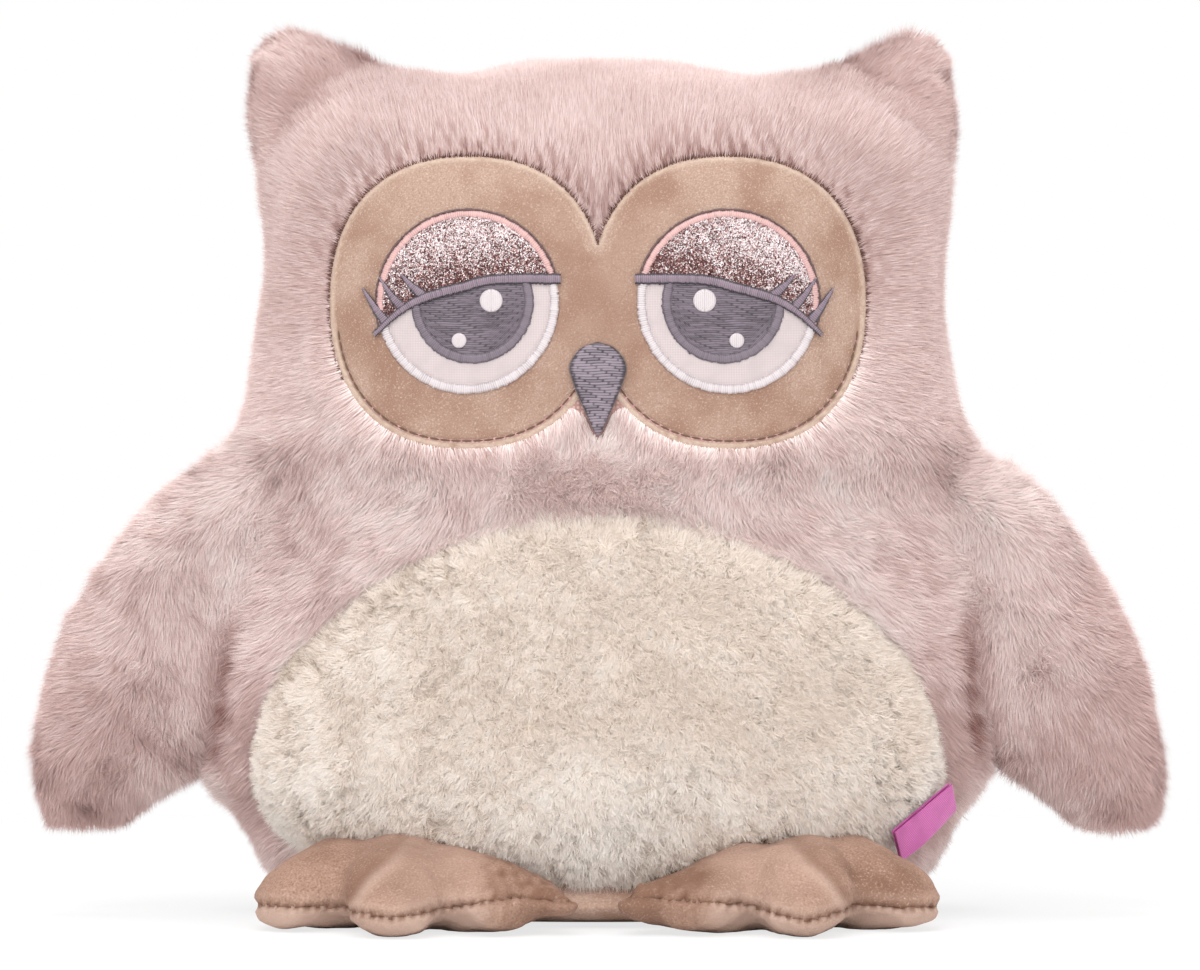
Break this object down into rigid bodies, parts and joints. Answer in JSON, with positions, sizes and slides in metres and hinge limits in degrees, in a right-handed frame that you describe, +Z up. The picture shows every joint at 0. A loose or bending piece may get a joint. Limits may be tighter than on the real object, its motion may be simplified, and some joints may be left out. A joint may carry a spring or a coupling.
{
  "type": "plush owl",
  "caption": "Sitting plush owl with a fur bag body, velour face mask, embroidered sleepy eyes, and soft wings, ears and toed feet that flex at their seams.",
  "frame": {"origin": "centre of the flat base on the floor, in the plane of the side seams", "axes": "+X to the right of someone who faces the owl, -Y is the way the face looks, +Z up; names that say left are at -X"},
  "size_m": [0.3252, 0.157, 0.2505],
  "materials": {
    "pink_fur": "matte",
    "cream_fur": "matte",
    "tan_velour": "matte",
    "foot_velour": "matte",
    "mauve_thread": "satin",
    "white_satin": "satin",
    "pink_satin": "satin",
    "glitter_cloth": "satin",
    "ribbon": "satin",
    "stuffing": "matte",
    "pouch_cloth": "matte"
  },
  "bodies": {
    "torso": {"front_fur_panel": "pink_fur", "belly_fur_panel": "cream_fur", "back_fur_panel_left": "pink_fur", "back_fur_panel_right": "pink_fur", "base_panel": "foot_velour", "body_stuffing": "stuffing", "pellet_pouch": "pouch_cloth", "face_mask": "tan_velour", "beak": "mauve_thread", "eye_white_left": "white_satin", "eye_white_border_left": "white_satin", "eyelid_left": "glitter_cloth", "eyelid_border_left": "pink_satin", "lid_line_left": "mauve_thread", "iris_left": "mauve_thread", "iris_rim_left": "mauve_thread", "eye_highlight_large_left": "white_satin", "eye_highlight_small_left": "white_satin", "lash_outer_left": "mauve_thread", "lash_middle_left": "mauve_thread", "lash_inner_left": "mauve_thread", "eye_white_right": "white_satin", "eye_white_border_right": "white_satin", "eyelid_right": "glitter_cloth", "eyelid_border_right": "pink_satin", "lid_line_right": "mauve_thread", "iris_right": "mauve_thread", "iris_rim_right": "mauve_thread", "eye_highlight_large_right": "white_satin", "eye_highlight_small_right": "white_satin", "lash_outer_right": "mauve_thread", "lash_middle_right": "mauve_thread", "lash_inner_right": "mauve_thread"},
    "wing_left": {"wing_front_left": "pink_fur", "wing_back_left": "pink_fur", "wing_stuffing_left": "stuffing"},
    "wing_right": {"wing_front_right": "pink_fur", "wing_back_right": "pink_fur", "wing_stuffing_right": "stuffing"},
    "ear_left": {"ear_front_left": "pink_fur", "ear_back_left": "pink_fur", "ear_stuffing_left": "stuffing"},
    "ear_right": {"ear_front_right": "pink_fur", "ear_back_right": "pink_fur", "ear_stuffing_right": "stuffing"},
    "foot_left": {"foot_top_left": "foot_velour", "foot_sole_left": "foot_velour", "foot_stuffing_left": "stuffing"},
    "foot_right": {"foot_top_right": "foot_velour", "foot_sole_right": "foot_velour", "foot_stuffing_right": "stuffing"},
    "label": {"ribbon_label": "ribbon"}
  },
  "joints": [
    {"name": "wing_left_swing", "type": "hinge", "parent": "torso", "child": "wing_left", "pos_m": [-0.10951, 0, 0.04598], "axis": [0.095, 0, 0.9955], "range_deg": [-25, 35], "stiffness_Nm_per_rad": 0.08},
    {"name": "wing_right_swing", "type": "hinge", "parent": "torso", "child": "wing_right", "pos_m": [0.10951, 0, 0.04598], "axis": [0.095, 0, -0.9955], "range_deg": [-25, 35], "stiffness_Nm_per_rad": 0.08},
    {"name": "ear_left_bend", "type": "hinge", "parent": "torso", "child": "ear_left", "pos_m": [-0.07572, 0, 0.22055], "axis": [0.7814, 0, 0.624], "range_deg": [-25, 25], "stiffness_Nm_per_rad": 0.04},
    {"name": "ear_right_bend", "type": "hinge", "parent": "torso", "child": "ear_right", "pos_m": [0.07572, 0, 0.22055], "axis": [0.7814, 0, -0.624], "range_deg": [-25, 25], "stiffness_Nm_per_rad": 0.04},
    {"name": "foot_left_lift", "type": "hinge", "parent": "torso", "child": "foot_left", "pos_m": [-0.055, -0.05758, 0.022], "axis": [-0.9319, 0.3628, 0], "range_deg": [0, 20], "stiffness_Nm_per_rad": 0.15},
    {"name": "foot_right_lift", "type": "hinge", "parent": "torso", "child": "foot_right", "pos_m": [0.055, -0.05758, 0.022], "axis": [-0.9319, -0.3628, 0], "range_deg": [0, 20], "stiffness_Nm_per_rad": 0.15},
    {"name": "label_flap", "type": "hinge", "parent": "torso", "child": "label", "pos_m": [0.08924, -0.03989, 0.03098], "axis": [-0.7141, -0.4262, -0.5554], "range_deg": [0, 70], "stiffness_Nm_per_rad": 0.002}
  ]
}
